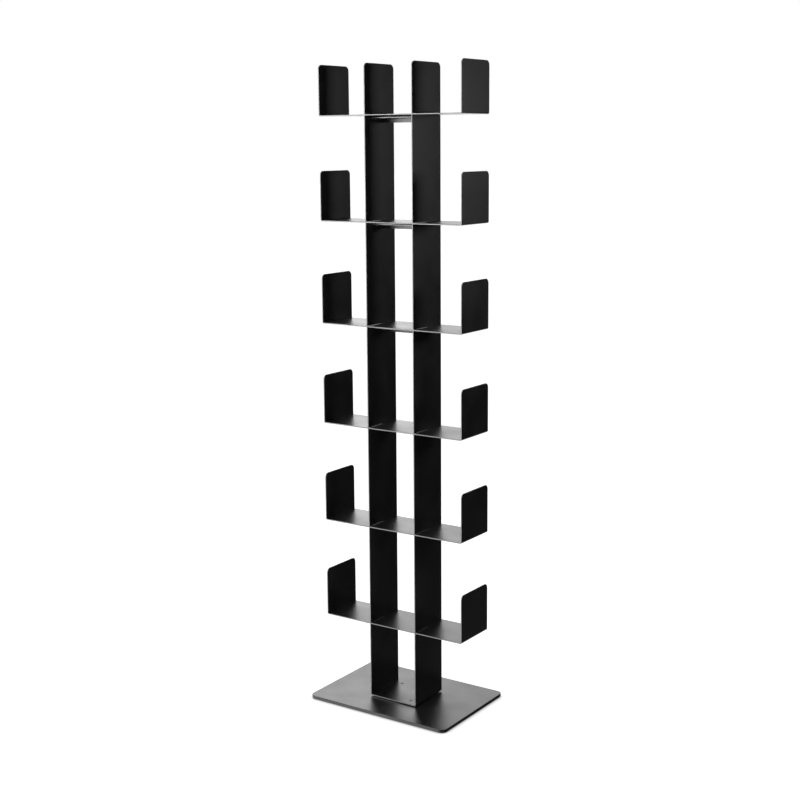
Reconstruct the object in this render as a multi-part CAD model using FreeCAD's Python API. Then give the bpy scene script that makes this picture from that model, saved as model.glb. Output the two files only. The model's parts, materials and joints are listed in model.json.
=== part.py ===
import FreeCAD, Part

import math
import os

from FreeCAD import Vector

# A free-standing bookshelf of folded steel sheet. Two upright spines, folded with their foot
# out of one sheet, stand on a heavy base plate and carry six shelves with upturned ends.
# Each shelf crosses both spines in half-lap slots, and slides in from the front.
#
# Millimetres. X runs along the shelves, the front faces -Y and +Z is up. The origin is on the
# floor, under the middle of the base.

# ---- Folded sheet ---------------------------------------------------------------------------
sheet = 3.0
bend_inside_radius = 2.0
corner_radius = 15.0

# ---- Shelves --------------------------------------------------------------------------------
shelf_length = 500.0
shelf_depth = 150.0
end_height = 150.0
shelf_count = 6
shelf_pitch = 310.0
lowest_shelf_height = 240.0

# ---- Half-lap slots where shelves and spines cross ------------------------------------------
slot_headroom = 0.5
slot_side_gap = 0.25

# ---- Braces between the spines, one under each shelf ----------------------------------------
brace_width = 48.0
brace_height = 16.0
brace_drop = 4.5
brace_setback = 37.5

# ---- Rubber strips on the braces, which the shelves rest on ---------------------------------
strip_width = 30.0
strip_inset = 8.0
strip_end_gap = 4.0
strip_play = 0.2

# ---- Base plate -----------------------------------------------------------------------------
base_length = 500.0
base_depth = 350.0
base_thickness = 10.0
base_corner_radius = 20.0
base_edge_radius = 1.0

# ---- Screws and press nuts between the base plate and the foot of the spines ----------------
foot_hole_spacing_x = 100.0
foot_hole_spacing_y = 100.0
thread_diameter = 8.0
thread_play = 0.1
screw_hole_play = 1.0
screw_head_diameter = 13.0
screw_head_height = 5.0
screw_head_play = 1.0
screw_key_width = 5.0
screw_key_depth = 3.0
nut_flange_diameter = 16.0
nut_flange_height = 2.0
nut_shank_diameter = 11.0
nut_shank_play = 0.1

# ---- Glides under the base plate ------------------------------------------------------------
glide_diameter = 30.0
glide_height = 2.0
glide_edge_radius = 0.5
glide_inset = 35.0

# ---- Levels and places that follow from the sizes above -------------------------------------
bay_width = (shelf_length - 4 * sheet) / 3
spine_span = bay_width + 2 * sheet
base_top = glide_height + base_thickness
foot_underside = base_top + nut_flange_height
foot_top = foot_underside + sheet
shelf_tops = [base_top + lowest_shelf_height + level * shelf_pitch for level in range(shelf_count)]
spine_top = shelf_tops[-1] - sheet + end_height
spine_centres = [side * (bay_width + sheet) / 2 for side in (-1, 1)]
front = -shelf_depth / 2
back = shelf_depth / 2
brace_front = front + brace_setback
foot_holes = [
    Vector(side_x * foot_hole_spacing_x / 2, side_y * foot_hole_spacing_y / 2, 0)
    for side_x in (-1, 1)
    for side_y in (-1, 1)
]

X_AXIS = Vector(1, 0, 0)
Y_AXIS = Vector(0, 1, 0)
Z_AXIS = Vector(0, 0, 1)
SAME_PLACE = 0.001


def block(x_range, y_range, z_range):
    """A box between two X, two Y and two Z values."""
    lengths = [high - low for low, high in (x_range, y_range, z_range)]
    return Part.makeBox(*lengths, Vector(x_range[0], y_range[0], z_range[0]))


def about(centre, width):
    """The range of the given width around a centre."""
    return (centre - width / 2, centre + width / 2)


def rod(diameter, place, low, high):
    """An upright cylinder at a place in plan, between two heights."""
    return Part.makeCylinder(diameter / 2, high - low, Vector(place.x, place.y, low))


def straight_edges(shape, axis, **at):
    """The straight edges along one axis whose middles have the given coordinates."""
    found = []
    for edge in shape.Edges:
        if edge.Curve.TypeId != "Part::GeomLine":
            continue
        if abs(abs(edge.Curve.Direction.dot(axis)) - 1) > SAME_PLACE:
            continue
        middle = edge.CenterOfMass
        if all(abs(getattr(middle, name) - value) < SAME_PLACE for name, value in at.items()):
            found.append(edge)
    return found


def folded_channel(span, low, high):
    """Sheet folded into a channel that opens upwards, with the outer corners of its sides round.

    The channel is as deep as a shelf in Y and is centred on the origin in plan.
    """
    inside = span / 2 - sheet
    outer = block(about(0, span), (front, back), (low, high))
    hollow = block(about(0, 2 * inside), (front, back), (low + sheet, high))
    channel = outer.cut(hollow)
    for side in (-1, 1):
        inner_bend = straight_edges(channel, Y_AXIS, x=side * inside, z=low + sheet)
        channel = channel.makeFillet(bend_inside_radius, inner_bend)
        outer_bend = straight_edges(channel, Y_AXIS, x=side * span / 2, z=low)
        channel = channel.makeFillet(bend_inside_radius + sheet, outer_bend)
    corners = [
        corner
        for end in (front, back)
        for corner in straight_edges(channel, X_AXIS, y=end, z=high)
    ]
    return channel.makeFillet(corner_radius, corners)


def spine_frame():
    """Both spines and the foot between them, with the front slots and the nut holes."""
    frame = folded_channel(spine_span, foot_underside, spine_top)
    for shelf_top in shelf_tops:
        for centre in spine_centres:
            slot = block(
                about(centre, 2 * sheet),
                (front, 0),
                (shelf_top - sheet, shelf_top + slot_headroom),
            )
            frame = frame.cut(slot)
    for place in foot_holes:
        frame = frame.cut(rod(nut_shank_diameter, place, foot_underside, foot_top))
    return frame


def shelf(shelf_top):
    """One shelf with upturned ends and its two back slots, which pass over the spines."""
    underside = shelf_top - sheet
    plate = folded_channel(shelf_length, underside, underside + end_height)
    for centre in spine_centres:
        slot = block(about(centre, sheet + 2 * slot_side_gap), (0, back), (underside, shelf_top))
        plate = plate.cut(slot)
    return plate


def brace(shelf_top):
    """An angle welded between the spines: a flat leg under the shelf and a leg down behind."""
    top = shelf_top - sheet - brace_drop
    low = top - brace_height
    brace_back = brace_front + brace_width
    whole = block(about(0, bay_width), (brace_front, brace_back), (low, top))
    hollow = block(about(0, bay_width), (brace_front, brace_back - sheet), (low, top - sheet))
    angle = whole.cut(hollow)
    inner_bend = straight_edges(angle, X_AXIS, y=brace_back - sheet, z=top - sheet)
    angle = angle.makeFillet(bend_inside_radius, inner_bend)
    outer_bend = straight_edges(angle, X_AXIS, y=brace_back, z=top)
    return angle.makeFillet(bend_inside_radius + sheet, outer_bend)


def rest_strip(shelf_top):
    """A rubber strip that lies on a brace and carries the middle of the shelf above it."""
    brace_top = shelf_top - sheet - brace_drop
    strip_front = brace_front + strip_inset
    return block(
        about(0, bay_width - 2 * strip_end_gap),
        (strip_front, strip_front + strip_width),
        (brace_top, shelf_top - sheet - strip_play),
    )


def base_plate():
    """The plate that the spines stand on, with stepped screw holes open to its underside."""
    plate = block(about(0, base_length), about(0, base_depth), (glide_height, base_top))
    upright_edges = [
        corner
        for side_x in (-1, 1)
        for side_y in (-1, 1)
        for corner in straight_edges(
            plate, Z_AXIS, x=side_x * base_length / 2, y=side_y * base_depth / 2
        )
    ]
    plate = plate.makeFillet(base_corner_radius, upright_edges)
    rims = [
        edge
        for face in plate.Faces
        if abs(abs(face.normalAt(0, 0).z) - 1) < SAME_PLACE
        for edge in face.Edges
    ]
    plate = plate.makeFillet(base_edge_radius, rims)
    for place in foot_holes:
        plate = plate.cut(rod(thread_diameter + screw_hole_play, place, glide_height, base_top))
        head_hole = rod(
            screw_head_diameter + screw_head_play,
            place,
            glide_height,
            glide_height + screw_head_height,
        )
        plate = plate.cut(head_hole)
    return plate


def base_screw(place):
    """A low-head screw from below, with a hexagonal key hole, that ends level with the foot."""
    seat = glide_height + screw_head_height
    head = rod(screw_head_diameter, place, glide_height, seat)
    shank = rod(thread_diameter, place, seat, foot_top)
    key_radius = screw_key_width / math.sqrt(3)
    corners = [
        place + Vector(key_radius * math.cos(turn), key_radius * math.sin(turn), glide_height)
        for turn in (math.radians(60 * step) for step in range(7))
    ]
    key_hole = Part.Face(Part.makePolygon(corners)).extrude(Z_AXIS * screw_key_depth)
    return head.fuse(shank).removeSplitter().cut(key_hole)


def foot_nut(place):
    """A press nut: its flange spaces the foot off the base and its shank fills the foot's hole."""
    flange = rod(nut_flange_diameter, place, base_top, foot_underside)
    shank = rod(nut_shank_diameter - nut_shank_play, place, foot_underside, foot_top)
    bore = rod(thread_diameter + thread_play, place, base_top, foot_top)
    return flange.fuse(shank).cut(bore)


def glide(side_x, side_y):
    """A thin round pad under one corner of the base plate."""
    place = Vector(
        side_x * (base_length / 2 - glide_inset), side_y * (base_depth / 2 - glide_inset), 0
    )
    pad = rod(glide_diameter, place, 0, glide_height)
    floor_rim = [edge for edge in pad.Edges if abs(edge.BoundBox.ZMax) < SAME_PLACE]
    return pad.makeFillet(glide_edge_radius, floor_rim)


def build():
    """Every sub-part by its node name."""
    parts = {
        "base_plate": base_plate(),
        "spine_frame": spine_frame(),
        "base_screws": Part.makeCompound([base_screw(place) for place in foot_holes]),
        "foot_nuts": Part.makeCompound([foot_nut(place) for place in foot_holes]),
    }
    for depth_name, side_y in (("front", -1), ("back", 1)):
        for side_name, side_x in (("left", -1), ("right", 1)):
            parts[f"glide_{depth_name}_{side_name}"] = glide(side_x, side_y)
    for number, shelf_top in enumerate(shelf_tops, start=1):
        parts[f"shelf_{number}"] = shelf(shelf_top)
        parts[f"brace_{number}"] = brace(shelf_top)
        parts[f"rest_strip_{number}"] = rest_strip(shelf_top)
    return parts


os.makedirs("parts", exist_ok=True)
for node, shape in build().items():
    shape.exportStep(f"parts/{node}.step")
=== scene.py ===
"""Looks of a spine bookshelf: folded steel sheet in satin black powder coat.

Every sheet piece is made as a sheet-metal worker makes it. A flat blank is cut out, its edges are
rounded, and then it is folded along square bends. Lengths are in metres, X runs along the shelves,
the front faces -Y and the floor is at Z = 0. Sizes come from the frame's own boxes wherever a box
can give them.
"""

import json
import logging
import math
from dataclasses import dataclass, field
from enum import Enum
from typing import Callable, Iterator, Protocol, Sequence

import bmesh
import bpy
import numpy as np
from mathutils import Euler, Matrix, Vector

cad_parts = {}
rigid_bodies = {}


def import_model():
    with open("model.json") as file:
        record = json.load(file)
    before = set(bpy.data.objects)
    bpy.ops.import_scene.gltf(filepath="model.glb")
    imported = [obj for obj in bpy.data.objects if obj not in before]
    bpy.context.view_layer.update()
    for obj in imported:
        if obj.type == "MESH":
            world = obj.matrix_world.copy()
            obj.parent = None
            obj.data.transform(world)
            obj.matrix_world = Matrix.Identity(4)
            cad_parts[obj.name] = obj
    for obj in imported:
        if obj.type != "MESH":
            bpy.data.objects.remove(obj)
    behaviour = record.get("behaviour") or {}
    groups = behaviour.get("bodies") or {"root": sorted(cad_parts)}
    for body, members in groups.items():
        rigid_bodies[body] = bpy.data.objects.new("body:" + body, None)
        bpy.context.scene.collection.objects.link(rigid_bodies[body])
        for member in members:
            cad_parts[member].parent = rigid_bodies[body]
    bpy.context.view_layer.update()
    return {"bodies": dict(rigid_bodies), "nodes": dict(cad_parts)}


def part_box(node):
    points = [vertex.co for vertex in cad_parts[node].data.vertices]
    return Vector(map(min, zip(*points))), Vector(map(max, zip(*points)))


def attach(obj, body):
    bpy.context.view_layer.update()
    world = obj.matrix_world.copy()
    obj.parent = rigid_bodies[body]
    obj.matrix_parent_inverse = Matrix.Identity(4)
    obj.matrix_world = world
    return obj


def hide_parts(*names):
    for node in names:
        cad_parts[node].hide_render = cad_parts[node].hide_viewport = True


log = logging.getLogger("bookshelf")

FRAME_BODY = "frame"
CUT_EDGE = "cut_edge"
PICTURE_WIDTH = 800
SENSOR_WIDTH = 36.0
SAME_PLACE = 1e-7
ROUNDING = 1e-9
SIZE_DIGITS = 5
WHITE = (1.0, 1.0, 1.0, 1.0)
UNIT = (0.0, 1.0)

Points = np.ndarray
Colour = tuple[float, float, float]
Range = tuple[float, float]
Socket = bpy.types.NodeSocket


# ---- Small helpers ---------------------------------------------------------------------------


def node_size(node: str) -> tuple[Vector, Vector, Vector]:
    """The lowest corner, highest corner and size of a CAD node's box."""
    low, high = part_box(node)
    return low, high, high - low


def mesh_piece(name: str, mesh: bpy.types.Mesh) -> bpy.types.Object:
    """Puts a mesh into the scene as a piece at the origin.

    Args:
        name: The piece's name.
        mesh: Its finished mesh, placed in the object's own frame.

    Returns:
        The new object.
    """
    piece = bpy.data.objects.new(name, mesh)
    bpy.context.scene.collection.objects.link(piece)
    return piece


class ShaderTree:
    """Adds shader nodes to a material or a world and wires them together."""

    def __init__(self, owner: bpy.types.Material | bpy.types.World) -> None:
        """Empties the owner's node tree.

        Args:
            owner: The material or world whose nodes are written.
        """
        owner.use_nodes = True
        self.tree = owner.node_tree
        self.tree.nodes.clear()

    def add(self, kind: str, inputs: dict | None = None, **settings: object) -> bpy.types.Node:
        """Adds one node.

        Args:
            kind: The node's Blender type, without the leading "ShaderNode".
            inputs: Socket names or numbers with a value, or with the output socket to wire in.
            **settings: Plain attributes of the node.

        Returns:
            The new node.
        """
        node = self.tree.nodes.new("ShaderNode" + kind)
        for key, value in settings.items():
            setattr(node, key, value)
        for socket, value in (inputs or {}).items():
            if isinstance(value, Socket):
                self.tree.links.new(value, node.inputs[socket])
            else:
                node.inputs[socket].default_value = value
        return node

    def noise(self, place: Socket, feature: float, detail: float = 2.0) -> Socket:
        """Cloudy noise whose blotches are about `feature` metres across, from 0 to 1."""
        inputs = {"Vector": place, "Scale": 1.0 / feature, "Detail": detail}
        return self.add("TexNoise", inputs).outputs["Fac"]

    def remap(self, value: Socket, source: Range, target: Range) -> Socket:
        """Carries a value from one range to another and holds it at the ends."""
        inputs = {0: value, 1: source[0], 2: source[1], 3: target[0], 4: target[1]}
        return self.add("MapRange", inputs, clamp=True).outputs[0]

    def math(self, operation: str, *values: float | Socket) -> Socket:
        """One arithmetic step on one to three values."""
        return self.add("Math", dict(enumerate(values)), operation=operation).outputs[0]

    def blend(self, share: Socket, first: Colour | Socket, second: Colour) -> Socket:
        """Mixes two colours.

        Args:
            share: The second colour's share, from 0 to 1.
            first: The first colour.
            second: The second colour.

        Returns:
            The mixed colour.
        """
        first = first if isinstance(first, Socket) else (*first, 1.0)
        inputs = {"Factor": share, "A": first, "B": (*second, 1.0)}
        return self.add("Mix", inputs, data_type="RGBA").outputs["Result"]


# ---- Finishes --------------------------------------------------------------------------------


class Slot(Enum):
    """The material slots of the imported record."""

    SHEET = "sheet_paint"
    BASE = "base_paint"
    SCREW = "screw_steel"
    NUT = "nut_steel"
    GLIDE = "glide_rubber"
    STRIP = "strip_rubber"


class Finish(Protocol):
    """Anything that can make its own material."""

    def material(self) -> bpy.types.Material:
        """Makes the material."""


@dataclass(frozen=True)
class PowderCoat:
    """Satin powder coat: a dark film with a fine grain, orange peel and faint wiping marks.

    A little dust lies on it, mostly where it faces up, and a pale painted highlight lies on its cut edges.
    """

    name: str
    colour: Colour = (0.006, 0.006, 0.0062)
    dust_colour: Colour = (0.022, 0.022, 0.023)
    # The painted edge highlight: its pale colour, where it starts on the cut-edge mask, and its patchy
    # strength.
    painted_highlight_colour: Colour = (0.66, 0.66, 0.66)
    painted_highlight_from: float = 0.6
    painted_highlight_strength: Range = (0.8, 1.0)
    film_index: float = 1.8
    roughness: Range = (0.38, 0.50)
    skin_index: float = 1.5
    skin_roughness: float = 0.36
    smudge_size: float = 0.07
    smudge_stretch: tuple[float, float, float] = (0.6, 1.0, 1.0)
    smudge_band: Range = (0.35, 0.70)
    grain_size: float = 0.0012
    grain_height: float = 0.000004
    grain_band: Range = (0.3, 0.7)
    grain_sway: float = 0.15
    peel_size: float = 0.006
    peel_height: float = 0.000012
    speck_size: float = 0.0009
    speck_band: Range = (0.66, 0.74)
    dust_in_smudges: float = 0.25
    dust_upright: float = 0.10
    upward_from: float = 0.5

    def material(self) -> bpy.types.Material:
        """Makes the coat's material.

        The roughness drifts with broad smudges, stretched a little along the shelf, and carries a
        weak share of the grain. Two bumps follow each other: orange peel, then grain.

        Returns:
            The material, driven by object coordinates.
        """
        material = bpy.data.materials.new(self.name)
        tree = ShaderTree(material)
        place = tree.add("TexCoord").outputs["Object"]
        stretched = tree.add("Mapping", {"Vector": place, "Scale": self.smudge_stretch}).outputs[0]
        smudge = tree.remap(tree.noise(stretched, self.smudge_size, detail=5.0), self.smudge_band, UNIT)
        grain = tree.noise(place, self.grain_size, detail=3.0)
        peel = tree.noise(place, self.peel_size, detail=1.0)
        sway = tree.remap(grain, self.grain_band, (-self.grain_sway, self.grain_sway))
        worn = tree.math("ADD", smudge, sway)
        peel_bump = tree.add("Bump", {"Height": peel, "Distance": self.peel_height, "Strength": 1.0})
        normal = tree.add(
            "Bump",
            {"Height": grain, "Distance": self.grain_height, "Strength": 1.0, "Normal": peel_bump.outputs[0]},
        ).outputs[0]
        shader = tree.add(
            "BsdfPrincipled",
            {
                "Base Color": self._tint(tree, place, smudge, worn),
                "Roughness": tree.remap(worn, UNIT, self.roughness),
                "IOR": self.film_index,
                "Coat Weight": 1.0,
                "Coat IOR": self.skin_index,
                "Coat Roughness": self.skin_roughness,
                "Normal": normal,
                "Coat Normal": normal,
            },
        )
        tree.add("OutputMaterial", {"Surface": shader.outputs[0]})
        return material

    def _tint(self, tree: ShaderTree, place: Socket, smudge: Socket, worn: Socket) -> Socket:
        """Dusts the film and paints a pale highlight on its cut edges.

        Args:
            tree: The coat's node tree.
            place: Object coordinates.
            smudge: The smudges, from 0 to 1.
            worn: The smudges with the grain's sway.

        Returns:
            The coat's colour, with the painted edge highlight.
        """
        speck = tree.remap(tree.noise(place, self.speck_size), self.speck_band, UNIT)
        upward = tree.add("SeparateXYZ", {0: tree.add("NewGeometry").outputs["Normal"]}).outputs[2]
        lying = tree.remap(upward, (self.upward_from, 1.0), (self.dust_upright, 1.0))
        loose = tree.math("ADD", speck, tree.math("MULTIPLY", smudge, self.dust_in_smudges))
        dust = tree.math("MINIMUM", tree.math("MULTIPLY", loose, lying), 1.0)
        film = tree.blend(dust, self.colour, self.dust_colour)
        # A pale painted highlight on the cut edges, patchy with the smudges and the grain.
        cut_edge = tree.add("Attribute", attribute_name=CUT_EDGE).outputs["Fac"]
        edge_highlight_mask = tree.remap(cut_edge, (self.painted_highlight_from, 1.0), UNIT)
        edge_highlight = tree.math("MULTIPLY", edge_highlight_mask, tree.remap(worn, UNIT, self.painted_highlight_strength))
        return tree.blend(edge_highlight, film, self.painted_highlight_colour)


@dataclass(frozen=True)
class BlackOxide:
    """Blackened steel of small fasteners: dark and oily, cloudy, worn a little lighter."""

    name: str
    colour: Colour = (0.070, 0.070, 0.072)
    worn_colour: Colour = (0.110, 0.108, 0.106)
    roughness: Range = (0.34, 0.52)
    cloud_size: float = 0.004
    cloud_band: Range = (0.3, 0.7)
    worn_band: Range = (0.45, 0.75)
    grain_size: float = 0.0004
    grain_height: float = 0.000003

    def material(self) -> bpy.types.Material:
        """Makes the blackened material from two sizes of cloudy noise.

        Returns:
            The material, driven by object coordinates.
        """
        material = bpy.data.materials.new(self.name)
        tree = ShaderTree(material)
        place = tree.add("TexCoord").outputs["Object"]
        cloud = tree.noise(place, self.cloud_size, detail=4.0)
        grain = tree.noise(place, self.grain_size)
        tint = tree.blend(tree.remap(cloud, self.worn_band, UNIT), self.colour, self.worn_colour)
        bump = tree.add("Bump", {"Height": grain, "Distance": self.grain_height, "Strength": 1.0})
        shader = tree.add(
            "BsdfPrincipled",
            {
                "Base Color": tint,
                "Metallic": 1.0,
                "Roughness": tree.remap(cloud, self.cloud_band, self.roughness),
                "Normal": bump.outputs[0],
            },
        )
        tree.add("OutputMaterial", {"Surface": shader.outputs[0]})
        return material


@dataclass(frozen=True)
class PadRubber:
    """Matt black rubber with a moulded grain."""

    name: str
    colour: Colour = (0.018, 0.018, 0.018)
    roughness: Range = (0.75, 0.95)
    grain_size: float = 0.0007
    grain_height: float = 0.00002
    grain_band: Range = (0.3, 0.7)

    def material(self) -> bpy.types.Material:
        """Makes the rubber's material.

        Returns:
            The material, driven by object coordinates.
        """
        material = bpy.data.materials.new(self.name)
        tree = ShaderTree(material)
        place = tree.add("TexCoord").outputs["Object"]
        grain = tree.noise(place, self.grain_size, detail=3.0)
        bump = tree.add("Bump", {"Height": grain, "Distance": self.grain_height, "Strength": 1.0})
        shader = tree.add(
            "BsdfPrincipled",
            {
                "Base Color": (*self.colour, 1.0),
                "Roughness": tree.remap(grain, self.grain_band, self.roughness),
                "Normal": bump.outputs[0],
            },
        )
        tree.add("OutputMaterial", {"Surface": shader.outputs[0]})
        return material


@dataclass
class PaintShop:
    """Holds one finish for each material slot and makes each material once."""

    finishes: dict[Slot, Finish]
    made: dict[Slot, bpy.types.Material] = field(default_factory=dict)

    def material(self, slot: Slot) -> bpy.types.Material:
        """Finds a slot's material, and makes it the first time it is asked for.

        Args:
            slot: The slot.

        Returns:
            Its material.
        """
        if slot not in self.made:
            self.made[slot] = self.finishes[slot].material()
        return self.made[slot]

    def paint(self, piece: bpy.types.Object, slot: Slot) -> None:
        """Gives a piece one slot's finish, in place of whatever it had."""
        piece.data.materials.clear()
        piece.data.materials.append(self.material(slot))


# ---- Folded sheet ----------------------------------------------------------------------------


@dataclass(frozen=True)
class SheetStock:
    """The steel sheet that shelves, spines and braces are cut from."""

    thickness: float
    bend_radius: float = 0.002
    edge_radius: float = 0.0004
    bend_steps: int = 8
    edge_steps: int = 4

    @property
    def outer_radius(self) -> float:
        """The radius on the outside of a bend."""
        return self.bend_radius + self.thickness

    @property
    def bend_length(self) -> float:
        """The length along the middle of the sheet that one square bend takes up."""
        return (self.bend_radius + self.thickness / 2) * math.pi / 2


@dataclass(frozen=True)
class Fold:
    """A line of straight runs joined by square left turns, seen in the plane of the fold.

    The line follows the inner face of the sheet; the sheet's thickness lies on its right.
    """

    stock: SheetStock
    start: tuple[float, float]
    heading: float
    runs: tuple[float, ...]

    def stations(self) -> list[float]:
        """Lists where the blank is divided so that its bends come out round.

        Returns:
            Distances along the blank where bends start, step and end.
        """
        found, here = [], 0.0
        for run in self.runs[:-1]:
            here += run
            steps = np.linspace(0.0, self.stock.bend_length, self.stock.bend_steps + 1)
            found.extend((here + steps).tolist())
            here += self.stock.bend_length
        return found

    @property
    def length(self) -> float:
        """The length of the flat blank."""
        return sum(self.runs) + self.stock.bend_length * (len(self.runs) - 1)

    def place(self, along: Points, depth: Points) -> tuple[Points, Points]:
        """Carries points of the flat blank onto the folded sheet.

        On a straight run a point lies at the run's start, plus its way along the heading, plus its
        depth to the right. On a bend it lies on a circle about the bend's centre, whose radius is
        the inside radius plus the depth and whose angle grows evenly with the way along.

        Args:
            along: Distances along the blank.
            depth: Depths into the sheet from its inner face.

        Returns:
            The two coordinates of each point in the plane of the fold.
        """
        across_at, up_at = np.zeros_like(along), np.zeros_like(along)
        corner, heading, here = np.array(self.start), self.heading, 0.0
        radius = self.stock.bend_radius
        for number, run in enumerate(self.runs):
            ahead = np.array([math.cos(heading), math.sin(heading)])
            right = np.array([ahead[1], -ahead[0]])
            on_run = along >= here - ROUNDING
            way = along[on_run] - here
            across_at[on_run] = corner[0] + ahead[0] * way + right[0] * depth[on_run]
            up_at[on_run] = corner[1] + ahead[1] * way + right[1] * depth[on_run]
            here += run
            if number == len(self.runs) - 1:
                break
            centre = corner + ahead * run - right * radius
            on_bend = along > here
            turn = heading + (along[on_bend] - here) / self.stock.bend_length * math.pi / 2
            reach = radius + depth[on_bend]
            across_at[on_bend] = centre[0] + np.sin(turn) * reach
            up_at[on_bend] = centre[1] - np.cos(turn) * reach
            heading += math.pi / 2
            ahead = np.array([math.cos(heading), math.sin(heading)])
            corner = centre + np.array([ahead[1], -ahead[0]]) * radius
            here += self.stock.bend_length
        return across_at, up_at


@dataclass(frozen=True)
class Blank:
    """A flat blank: a closed outline and round holes, in (along, across) coordinates."""

    outline: Points
    holes: tuple[Points, ...] = ()
    cuts_along: tuple[float, ...] = ()
    cuts_across: tuple[float, ...] = ()


def arc(centre: tuple[float, float], radius: float, start: float, end: float, steps: int) -> Points:
    """Points on a circular arc: the centre plus the radius along evenly spaced angles."""
    angles = np.linspace(start, end, steps + 1)
    return np.stack([centre[0] + radius * np.cos(angles), centre[1] + radius * np.sin(angles)], axis=1)


def mitres(loop: Points) -> Points:
    """For each point of a closed anticlockwise loop, the step outwards that moves both sides by one.

    With unit normals a and b of the two sides that meet there, the step is (a + b) / (1 + a.b).

    Args:
        loop: The loop's points.

    Returns:
        One step for each point.
    """
    sides = np.roll(loop, -1, axis=0) - loop
    sides /= np.linalg.norm(sides, axis=1, keepdims=True)
    after = np.stack([sides[:, 1], -sides[:, 0]], axis=1)
    before = np.roll(after, 1, axis=0)
    return (before + after) / (1.0 + np.sum(before * after, axis=1, keepdims=True))


def rim_profile(stock: SheetStock) -> tuple[Points, Points]:
    """The sheet's edge in section: a quarter round, the flat of the edge and a quarter round.

    Along each quarter, with radius r and angle t, the inset is r (1 - sin t) and the depth is
    r (1 - cos t).

    Args:
        stock: The sheet.

    Returns:
        How far each profile point lies inside the outline, and its depth from the inner face.
    """
    turn = np.linspace(0.0, math.pi / 2, stock.edge_steps + 1)
    inset = stock.edge_radius * (1.0 - np.sin(turn))
    depth = stock.edge_radius * (1.0 - np.cos(turn))
    return np.concatenate([inset, inset[::-1]]), np.concatenate([depth, stock.thickness - depth[::-1]])


class FoldedSheet:
    """Makes the mesh of one blank with rounded edges, folded and placed in space."""

    def __init__(self, stock: SheetStock, blank: Blank, fold: Fold) -> None:
        """Keeps what the sheet is made from.

        Args:
            stock: The sheet.
            blank: The cut-out blank.
            fold: The line it is folded along.
        """
        self.stock, self.blank, self.fold = stock, blank, fold

    def _rim(self, flat: bmesh.types.BMesh, loop: Points) -> tuple[list, list]:
        """Carries the edge profile around a loop.

        Args:
            flat: The blank's mesh, which the profile is added to.
            loop: The outline or hole that it follows.

        Returns:
            The mesh edges of the loop's two rims, one on each face of the sheet.
        """
        inset, depth = rim_profile(self.stock)
        flat_places = loop[:, None, :] - mitres(loop)[:, None, :] * inset[None, :, None]
        depths = np.broadcast_to(depth[None, :, None], (*flat_places.shape[:2], 1))
        grid = np.concatenate([flat_places, depths], axis=2)
        rows = [[flat.verts.new(point) for point in row] for row in grid.tolist()]
        for row, following in zip(rows, rows[1:] + rows[:1]):
            for low, high, next_high, next_low in zip(row, row[1:], following[1:], following):
                flat.faces.new((low, next_low, next_high, high))
        ends = [[row[side] for row in rows] for side in (0, -1)]
        return tuple(
            [flat.edges.get((one, other)) for one, other in zip(ring, ring[1:] + ring[:1])] for ring in ends
        )

    def mesh(self, name: str, lay: Callable[[Points, Points, Points], Points]) -> bpy.types.Mesh:
        """Cuts, rounds, folds and places the sheet.

        Args:
            name: The mesh's name.
            lay: Puts (fold coordinate, coordinate across the blank, height) into the object's frame.

        Returns:
            A closed mesh. Its attribute CUT_EDGE grows from 0 on the sheet's two faces to 1 on the
            flat of its cut edges.
        """
        flat = bmesh.new()
        rims = [self._rim(flat, loop) for loop in (self.blank.outline, *self.blank.holes)]
        for side, normal in ((0, (0, 0, -1)), (1, (0, 0, 1))):
            edges = [edge for rim in rims for edge in rim[side]]
            bmesh.ops.triangle_fill(flat, edges=edges, use_beauty=True, use_dissolve=True, normal=normal)
        for position in (*self.fold.stations(), *self.blank.cuts_along):
            self._cut(flat, (position, 0, 0), (1, 0, 0))
        for position in self.blank.cuts_across:
            self._cut(flat, (0, position, 0), (0, 1, 0))
        bmesh.ops.remove_doubles(flat, verts=flat.verts, dist=SAME_PLACE)
        mesh = bpy.data.meshes.new(name)
        flat.to_mesh(mesh)
        flat.free()
        places = np.empty(len(mesh.vertices) * 3)
        mesh.vertices.foreach_get("co", places)
        along, across, depth = places.reshape(-1, 3).T
        folded, height = self.fold.place(along, depth)
        mesh.vertices.foreach_set("co", lay(folded, across, height).ravel())
        from_face = np.minimum(depth, self.stock.thickness - depth)
        edge = mesh.attributes.new(CUT_EDGE, "FLOAT", "POINT")
        edge.data.foreach_set("value", np.clip(from_face / self.stock.edge_radius, 0.0, 1.0))
        return finish_mesh(mesh)

    @staticmethod
    def _cut(flat: bmesh.types.BMesh, place: Sequence[float], normal: Sequence[float]) -> None:
        """Divides every face that a plane passes through."""
        everything = [*flat.verts, *flat.edges, *flat.faces]
        bmesh.ops.bisect_plane(flat, geom=everything, dist=SAME_PLACE, plane_co=place, plane_no=normal)


def finish_mesh(mesh: bpy.types.Mesh, sharp: float = math.radians(40)) -> bpy.types.Mesh:
    """Turns all faces outwards and shades them smooth.

    Args:
        mesh: A closed mesh.
        sharp: The angle past which an edge stays sharp.

    Returns:
        The same mesh.
    """
    solid = bmesh.new()
    solid.from_mesh(mesh)
    bmesh.ops.recalc_face_normals(solid, faces=solid.faces)
    solid.to_mesh(mesh)
    solid.free()
    mesh.polygons.foreach_set("use_smooth", np.ones(len(mesh.polygons), dtype=bool))
    mesh.set_sharp_from_angle(angle=sharp)
    mesh.update()
    return mesh


def weigh_normals(piece: bpy.types.Object) -> None:
    """Keeps large flat faces flat in shading while small rounded edges stay smooth.

    Args:
        piece: The object whose normals are weighed.
    """
    weighted = piece.modifiers.new("weighted normals", "WEIGHTED_NORMAL")
    weighted.mode = "FACE_AREA"
    weighted.keep_sharp = True


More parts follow.
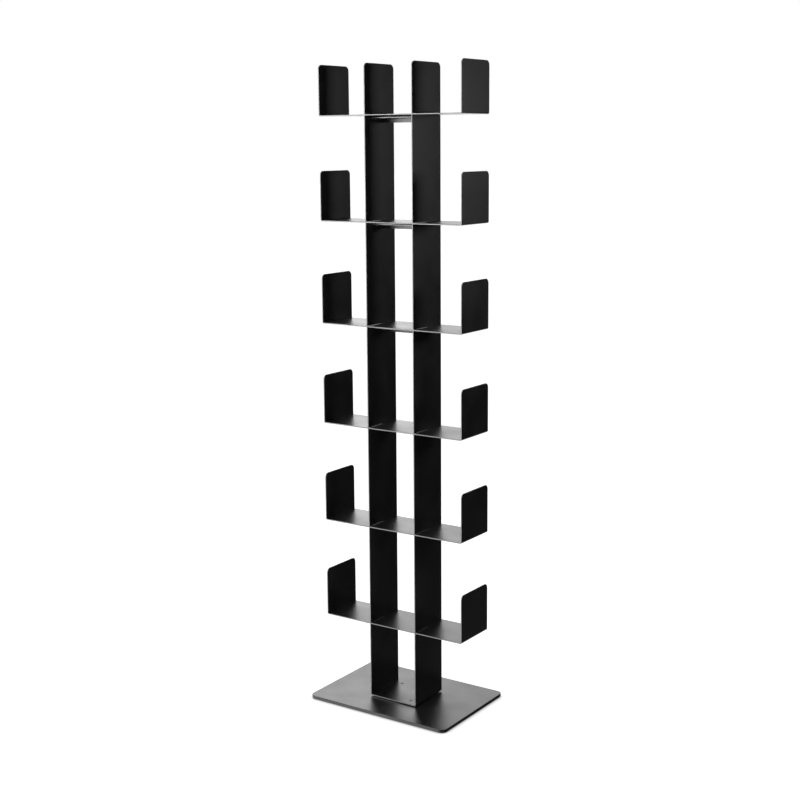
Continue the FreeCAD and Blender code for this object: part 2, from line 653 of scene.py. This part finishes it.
def lay_along_x(folded: Points, across: Points, height: Points) -> Points:
    """Fold coordinates run along X and the blank's width lies along Y."""
    return np.stack([folded, across, height], axis=1)


def lay_along_y(folded: Points, across: Points, height: Points) -> Points:
    """Fold coordinates run along Y and the blank's width lies along X."""
    return np.stack([across, folded, height], axis=1)


# ---- Sub-assemblies --------------------------------------------------------------------------


@dataclass
class Joinery:
    """Sizes that shelves and spines share so that they cross in half-lap slots."""

    stock: SheetStock
    corner_radius: float = 0.015
    corner_steps: int = 12
    headroom: float = 0.0005
    side_gap: float = 0.00025
    spine_centres: tuple[float, float] = (0.0, 0.0)
    front: float = 0.0
    back: float = 0.0

    @classmethod
    def from_frame(cls) -> "Joinery":
        """Reads the sheet's thickness, the spines' places and the common depth off the boxes.

        Returns:
            The joinery.
        """
        low, high, size = node_size("spine_frame")
        thickness = round((size.x - node_size("brace_1")[2].x) / 2, SIZE_DIGITS)
        centres = (low.x + thickness / 2, high.x - thickness / 2)
        return cls(stock=SheetStock(thickness), spine_centres=centres, front=low.y, back=high.y)

    def round_corner(self, along: float, across: float, turn: float) -> Points:
        """Rounds one corner of a blank.

        Args:
            along: The sharp corner's distance along the blank.
            across: Its distance across the blank.
            turn: The heading on which the outline enters the corner, in radians.

        Returns:
            Points on a quarter circle, which ends a quarter turn to the left of that heading.
        """
        start = turn - math.pi / 2
        middle = start + math.pi / 4
        radius = self.corner_radius
        centre = (
            along - math.copysign(radius, math.cos(middle)),
            across - math.copysign(radius, math.sin(middle)),
        )
        return arc(centre, radius, start, start + math.pi / 2, self.corner_steps)

    def blank_outline(self, length: float, front_path: Points, back_path: Points) -> Points:
        """An anticlockwise outline with four round corners and a path along each long edge.

        Args:
            length: The blank's length.
            front_path: Extra points on the front edge, with the distance along growing.
            back_path: Extra points on the back edge, with the distance along shrinking.

        Returns:
            The closed outline.
        """
        return np.concatenate([
            self.round_corner(0.0, self.front, -math.pi / 2),
            front_path.reshape(-1, 2),
            self.round_corner(length, self.front, 0.0),
            self.round_corner(length, self.back, math.pi / 2),
            back_path.reshape(-1, 2),
            self.round_corner(0.0, self.back, math.pi),
        ])


@dataclass
class SheetPart:
    """A part of folded sheet that is shown in place of its CAD node."""

    node: str
    body: str
    joinery: Joinery

    def folded(self) -> bpy.types.Mesh:
        """Cuts and folds the part's sheet."""
        raise NotImplementedError

    def build(self) -> bpy.types.Object:
        """Makes the part as a piece at the origin."""
        mesh = self.folded()
        return mesh_piece(mesh.name, mesh)

    def dress(self, piece: bpy.types.Object, shop: PaintShop) -> None:
        """Paints the part and puts it in its node's place.

        Args:
            piece: The part's object.
            shop: Where the paint comes from.
        """
        weigh_normals(piece)
        shop.paint(piece, Slot.SHEET)
        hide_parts(self.node)
        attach(piece, self.body)


@dataclass
class Shelf(SheetPart):
    """One shelf: a folded sheet with upturned ends and two slots in its back half."""

    @classmethod
    def numbered(cls, number: int, joinery: Joinery) -> "Shelf":
        """The shelf with a number, counted from the floor. Its node and its body share a name."""
        return cls(f"shelf_{number}", f"shelf_{number}", joinery)

    def folded(self) -> bpy.types.Mesh:
        """Makes the folded shelf.

        Returns:
            Its mesh.
        """
        joinery, stock = self.joinery, self.joinery.stock
        low, high, size = node_size(self.node)
        end_run = size.z - stock.outer_radius
        floor_run = size.x - 2 * stock.outer_radius
        inner_left = low.x + stock.thickness
        fold = Fold(stock, (inner_left, high.z), -math.pi / 2, (end_run, floor_run, end_run))
        floor_start = end_run + stock.bend_length
        slot_width = stock.thickness + 2 * joinery.side_gap
        slots = [
            floor_start + (centre - low.x - stock.outer_radius) for centre in joinery.spine_centres
        ]
        half = slot_width / 2
        notches = np.array([
            point
            for middle in reversed(slots)
            for point in (
                (middle + half, joinery.back),
                (middle + half, 0.0),
                (middle - half, 0.0),
                (middle - half, joinery.back),
            )
        ])
        outline = joinery.blank_outline(fold.length, np.empty((0, 2)), notches)
        cuts = tuple(middle + side * half for middle in slots for side in (-1, 1))
        blank = Blank(outline, cuts_along=cuts, cuts_across=(0.0,))
        return FoldedSheet(stock, blank, fold).mesh(f"{self.node}_sheet", lay_along_x)


@dataclass
class SpineFrame(SheetPart):
    """Both spines and the foot between them, folded out of one sheet and slotted in front."""

    shelf_count: int = 1
    nut_hole_radius: float = 0.0055
    nut_hole_steps: int = 32
    screw_head_radius: float = 0.0065

    def folded(self) -> bpy.types.Mesh:
        """Makes the folded spine frame.

        Returns:
            Its mesh.
        """
        joinery, stock = self.joinery, self.joinery.stock
        low, high, size = node_size(self.node)
        upright = size.z - stock.outer_radius
        foot_run = size.x - 2 * stock.outer_radius
        fold = Fold(stock, (low.x + stock.thickness, high.z), -math.pi / 2, (upright, foot_run, upright))
        slots = []
        for number in range(1, self.shelf_count + 1):
            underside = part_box(f"shelf_{number}")[0].z
            top_edge = high.z - (underside + stock.thickness + joinery.headroom)
            bottom_edge = high.z - underside
            slots.append((top_edge, bottom_edge))
            slots.append((fold.length - bottom_edge, fold.length - top_edge))
        slots.sort()
        notches = np.array([
            point
            for start, end in slots
            for point in ((start, joinery.front), (start, 0.0), (end, 0.0), (end, joinery.front))
        ])
        outline = joinery.blank_outline(fold.length, notches, np.empty((0, 2)))
        cuts = tuple(edge for slot in slots for edge in slot)
        blank = Blank(outline, tuple(self._nut_holes(fold, low)), cuts, (0.0,))
        return FoldedSheet(stock, blank, fold).mesh(f"{self.node}_sheet", lay_along_x)

    def _nut_holes(self, fold: Fold, low: Vector) -> Iterator[Points]:
        """Finds the press nuts, which sit over the screws at the corners of the screws' box.

        Args:
            fold: The frame's fold.
            low: The lowest corner of the frame's box.

        Yields:
            A clockwise loop of points around each nut, on the blank.
        """
        screw_low, screw_high, _ = node_size("base_screws")
        columns = (screw_low.x + self.screw_head_radius, screw_high.x - self.screw_head_radius)
        rows = (screw_low.y + self.screw_head_radius, screw_high.y - self.screw_head_radius)
        foot_start = fold.runs[0] + fold.stock.bend_length
        for x in columns:
            for y in rows:
                along = foot_start + (x - low.x - fold.stock.outer_radius)
                loop = arc((along, y), self.nut_hole_radius, 2 * math.pi, 0.0, self.nut_hole_steps)
                yield loop[:-1]


@dataclass
class Brace(SheetPart):
    """An angle under a shelf, welded between the spines."""

    @classmethod
    def numbered(cls, number: int, joinery: Joinery) -> "Brace":
        """The brace under the shelf with a number, counted from the floor."""
        return cls(f"brace_{number}", FRAME_BODY, joinery)

    def folded(self) -> bpy.types.Mesh:
        """Makes the folded angle, starting at the foot of its back leg.

        Returns:
            Its mesh.
        """
        stock = self.joinery.stock
        low, high, size = node_size(self.node)
        leg, flat = size.z - stock.outer_radius, size.y - stock.outer_radius
        fold = Fold(stock, (high.y - stock.thickness, low.z), math.pi / 2, (leg, flat))
        corners = [(0.0, low.x), (fold.length, low.x), (fold.length, high.x), (0.0, high.x)]
        return FoldedSheet(stock, Blank(np.array(corners)), fold).mesh(f"{self.node}_sheet", lay_along_y)


@dataclass
class BraceWelds:
    """Short fillet welds under the flat leg of a brace, two at each end."""

    number: int
    joinery: Joinery
    length: float = 0.018
    radius: float = 0.0026
    stand_off: float = 0.0011
    ripple: float = 0.00018
    ripple_pitch: float = 0.0016
    spread: float = 0.5
    fullness: int = 8
    stations: int = 45
    sides: int = 14

    def _bead(self, x: float, y: float, z: float, side: int) -> tuple[Points, list]:
        """One bead along Y: a tube whose radius rises and falls.

        With t from 0 to 1 along the bead and n for its fullness, the radius is r plus a ripple that
        is a sine of the way along, times (1 - (2t - 1)^n)^(1/2). The axis stands a little off the
        corner that the bead fills.

        Args:
            x: The brace's end, where it meets a spine.
            y: The middle of the bead.
            z: The underside of the flat leg.
            side: -1 for the left end of the brace and 1 for the right.

        Returns:
            The bead's points, and its faces as lists of point numbers.
        """
        along = np.linspace(0.0, 1.0, self.stations)
        swell = np.sqrt(np.clip(1.0 - (2.0 * along - 1.0) ** self.fullness, 0.0, 1.0))
        wave = self.ripple * np.sin(2 * math.pi * along * self.length / self.ripple_pitch)
        radius = (self.radius + wave) * swell
        turn = np.linspace(0.0, 2 * math.pi, self.sides, endpoint=False)
        across = x - side * self.stand_off + radius[:, None] * np.cos(turn)[None, :]
        height = z - self.stand_off + radius[:, None] * np.sin(turn)[None, :]
        way = np.broadcast_to((y + (along - 0.5) * self.length)[:, None], across.shape)
        grid = np.stack([across, way, height], axis=2).reshape(-1, 3)
        rows = np.arange(self.stations - 1)[:, None] * self.sides
        columns = np.arange(self.sides)[None, :]
        following = (columns + 1) % self.sides
        faces = np.stack(
            [rows + columns, rows + following, rows + self.sides + following, rows + self.sides + columns],
            axis=2,
        )
        return grid, faces.reshape(-1, 4).tolist()

    def build(self) -> bpy.types.Object:
        """Makes the brace's four beads.

        Returns:
            All four as one piece.
        """
        stock = self.joinery.stock
        low, high, size = node_size(f"brace_{self.number}")
        underside = high.z - stock.thickness
        grids, faces, count = [], [], 0
        for side, x in ((-1, low.x), (1, high.x)):
            for step in (-1, 1):
                y = (low.y + high.y) / 2 + step * self.spread * size.y / 2
                grid, bead_faces = self._bead(x, y, underside, side)
                faces.extend([[corner + count for corner in face] for face in bead_faces])
                grids.append(grid)
                count += len(grid)
        mesh = bpy.data.meshes.new(f"brace_{self.number}_welds")
        mesh.from_pydata(np.concatenate(grids).tolist(), [], faces)
        solid = bmesh.new()
        solid.from_mesh(mesh)
        bmesh.ops.remove_doubles(solid, verts=solid.verts, dist=SAME_PLACE)
        solid.to_mesh(mesh)
        solid.free()
        return mesh_piece(f"brace_{self.number}_welds", finish_mesh(mesh))

    def dress(self, piece: bpy.types.Object, shop: PaintShop) -> None:
        """Paints the welds with the sheet that they join.

        Args:
            piece: The welds' object.
            shop: Where the paint comes from.
        """
        shop.paint(piece, Slot.SHEET)
        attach(piece, FRAME_BODY)


@dataclass
class PlainParts:
    """Parts that keep their CAD shapes: base plate, screws, nuts, glides and rubber strips."""

    starts: dict[str, Slot] = field(
        default_factory=lambda: {
            "base_plate": Slot.BASE,
            "base_screws": Slot.SCREW,
            "foot_nuts": Slot.NUT,
            "glide_": Slot.GLIDE,
            "rest_strip_": Slot.STRIP,
        }
    )

    def dress(self, nodes: dict[str, bpy.types.Object], shop: PaintShop) -> None:
        """Paints each of these parts.

        Args:
            nodes: The frame's CAD objects by name.
            shop: Where the materials come from.
        """
        for start, slot in self.starts.items():
            for node in (name for name in nodes if name.startswith(start)):
                nodes[node].material_slots[0].material = shop.material(slot)


# ---- Studio ----------------------------------------------------------------------------------


@dataclass(frozen=True)
class Lamp:
    """A rectangular soft lamp that looks at one point. A glow of 1 is as bright as white paper."""

    name: str
    place: tuple[float, float, float]
    aim: tuple[float, float, float]
    size: tuple[float, float]
    glow: float

    def hang(self) -> None:
        """Adds the lamp to the scene. Its power is its glow times its area times pi."""
        light = bpy.data.lights.new(self.name, "AREA")
        light.shape = "RECTANGLE"
        light.size, light.size_y = self.size
        light.energy = self.glow * self.size[0] * self.size[1] * math.pi
        lamp = bpy.data.objects.new(self.name, light)
        lamp.location = self.place
        lamp.rotation_euler = (Vector(self.aim) - Vector(self.place)).to_track_quat("-Z", "Y").to_euler()
        lamp.visible_camera = False
        bpy.context.scene.collection.objects.link(lamp)


@dataclass(frozen=True)
class Patch:
    """A glowing part of the surroundings, between two headings and two heights in degrees.

    A heading is counted anticlockwise from +X in plan, a height is counted up from the horizon.
    """

    headings: tuple[float, float]
    heights: tuple[float, float]
    glow: float
    soft_edge: float = 10.0

    def strength(self, tree: ShaderTree, heading: Socket, height: Socket) -> Socket:
        """The patch's glow in a direction: it fades to nothing across a soft edge on every side.

        Args:
            tree: The world's node tree.
            heading: The direction's heading.
            height: The direction's height.

        Returns:
            The strength.
        """
        half = self.soft_edge / 2
        strength: float | Socket = self.glow
        for value, (start, end) in ((heading, self.headings), (height, self.heights)):
            rise = tree.remap(value, (start - half, start + half), UNIT)
            fall = tree.remap(value, (end - half, end + half), (1.0, 0.0))
            strength = tree.math("MULTIPLY", tree.math("MULTIPLY", rise, fall), strength)
        return strength


@dataclass(frozen=True)
class Studio:
    """A white sweep behind the object, a dim room on its right and soft lamps."""

    floor_half: float = 60.0
    floor_colour: Colour = (0.8, 0.8, 0.8)
    floor_lift: float = 0.95
    shade_reach: float = 0.03
    room_glow: float = 0.001
    patches: tuple[Patch, ...] = (
        Patch((105.0, 162.0), (-4.0, 32.0), 1.0),  # the sweep's wall
        Patch((105.0, 262.0), (-110.0, -3.0), 1.0),  # the floor behind and on the left
        Patch((76.0, 110.0), (-110.0, -22.0), 0.6),  # the floor straight behind
        Patch((300.0, 350.0), (-20.0, 60.0), 0.4),  # a fill from the front right
        Patch((-20.0, 380.0), (55.0, 110.0), 0.35),  # the ceiling
    )
    lamps: tuple[Lamp, ...] = (
        Lamp("key panel", (-2.3, -3.4, 1.8), (0.0, 0.0, 1.4), (2.2, 2.0), 4.5),
        Lamp("back panel", (-1.96, 2.9, 1.35), (0.0, 0.0, 1.0), (1.9, 1.7), 0.5),
        Lamp("left panel", (-1.53, 1.38, 1.35), (0.0, 0.0, 1.0), (1.2, 1.8), 0.5),
        Lamp("side lamp", (2.2, 1.3, 1.8), (0.0, 0.0, 1.6), (0.7, 0.5), 4.5),
    )

    def build(self) -> None:
        """Lays the floor, lights the room and hangs the lamps."""
        self._floor()
        self._world()
        for lamp in self.lamps:
            lamp.hang()

    def _floor(self) -> None:
        """A pale floor that the camera sees lifted to white, save where the object crowds it."""
        half = self.floor_half
        mesh = bpy.data.meshes.new("floor")
        corners = [(-half, -half, 0.0), (half, -half, 0.0), (half, half, 0.0), (-half, half, 0.0)]
        mesh.from_pydata(corners, [], [(0, 1, 2, 3)])
        floor = mesh_piece("floor", mesh)
        material = bpy.data.materials.new("pale floor")
        tree = ShaderTree(material)
        openness = tree.add("AmbientOcclusion", {"Distance": self.shade_reach}).outputs["AO"]
        matt = tree.add("BsdfDiffuse", {"Color": (*self.floor_colour, 1.0)}).outputs[0]
        seen = tree.math("MULTIPLY", tree.add("LightPath").outputs["Is Camera Ray"], openness)
        lift = tree.math("MULTIPLY", seen, self.floor_lift)
        glow = tree.add("Emission", {"Color": WHITE, "Strength": lift}).outputs[0]
        shader = tree.add("AddShader", {0: matt, 1: glow}).outputs[0]
        tree.add("OutputMaterial", {"Surface": shader})
        mesh.materials.append(material)
        floor.visible_glossy = False

    def _world(self) -> None:
        """White for the camera. Everything else sees the room's faint glow and its bright patches."""
        world = bpy.data.worlds.new("studio")
        bpy.context.scene.world = world
        tree = ShaderTree(world)
        direction = tree.add("TexCoord").outputs["Generated"]
        right, ahead, upward = tree.add("SeparateXYZ", {0: direction}).outputs
        turn = tree.math("DEGREES", tree.math("ARCTAN2", ahead, right))
        heading = tree.math("WRAP", turn, 360.0, 0.0)
        height = tree.math("DEGREES", tree.math("ARCSINE", upward))
        strength = tree.math("MAXIMUM", tree.add("LightPath").outputs["Is Camera Ray"], self.room_glow)
        for patch in self.patches:
            strength = tree.math("MAXIMUM", strength, patch.strength(tree, heading, height))
        sky = tree.add("Background", {"Color": WHITE, "Strength": strength}).outputs[0]
        tree.add("OutputWorld", {"Surface": sky})


@dataclass(frozen=True)
class Viewpoint:
    """Where the object is seen from, in its own frame, and with what lens."""

    eye: tuple[float, float, float] = (2.3015, -3.4027, 1.7200)
    tilt: float = 79.4347
    roll: float = 0.4354
    turn: float = 34.1769
    focal_pixels: float = 1378.66

    def set_up(self) -> None:
        """Adds the camera. Its lens gives the focal length in pixels at the picture's width."""
        data = bpy.data.cameras.new("camera")
        data.sensor_fit = "HORIZONTAL"
        data.sensor_width = SENSOR_WIDTH
        data.lens = self.focal_pixels / PICTURE_WIDTH * SENSOR_WIDTH
        camera = bpy.data.objects.new("camera", data)
        camera.location = self.eye
        camera.rotation_euler = Euler([math.radians(angle) for angle in (self.tilt, self.roll, self.turn)])
        bpy.context.scene.collection.objects.link(camera)
        bpy.context.scene.camera = camera


def main() -> None:
    """Builds and dresses every sub-assembly in order, then sets up the studio."""
    logging.basicConfig(level=logging.INFO, format="%(name)s: %(message)s")
    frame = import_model()
    shop = PaintShop({
        Slot.SHEET: PowderCoat("satin black coat on sheet"),
        Slot.BASE: PowderCoat("satin black coat on plate"),
        Slot.SCREW: BlackOxide("black oxide on screws"),
        Slot.NUT: BlackOxide("black oxide on nuts"),
        Slot.GLIDE: PadRubber("black rubber of glides"),
        Slot.STRIP: PadRubber("black rubber of strips", colour=(0.010, 0.010, 0.010)),
    })
    joinery = Joinery.from_frame()
    shelf_count = sum(body.startswith("shelf_") for body in frame["bodies"])
    numbers = range(1, shelf_count + 1)
    assemblies = [SpineFrame("spine_frame", FRAME_BODY, joinery, shelf_count)]
    assemblies += [Shelf.numbered(number, joinery) for number in numbers]
    assemblies += [Brace.numbered(number, joinery) for number in numbers]
    assemblies += [BraceWelds(number, joinery) for number in numbers]
    for assembly in assemblies:
        piece = assembly.build()
        assembly.dress(piece, shop)
        log.info("%s: %d faces", piece.name, len(piece.data.polygons))
    PlainParts().dress(frame["nodes"], shop)
    Studio().build()
    Viewpoint().set_up()
    bpy.context.scene.view_settings.view_transform = "Standard"


if __name__ == "__main__":
    main()
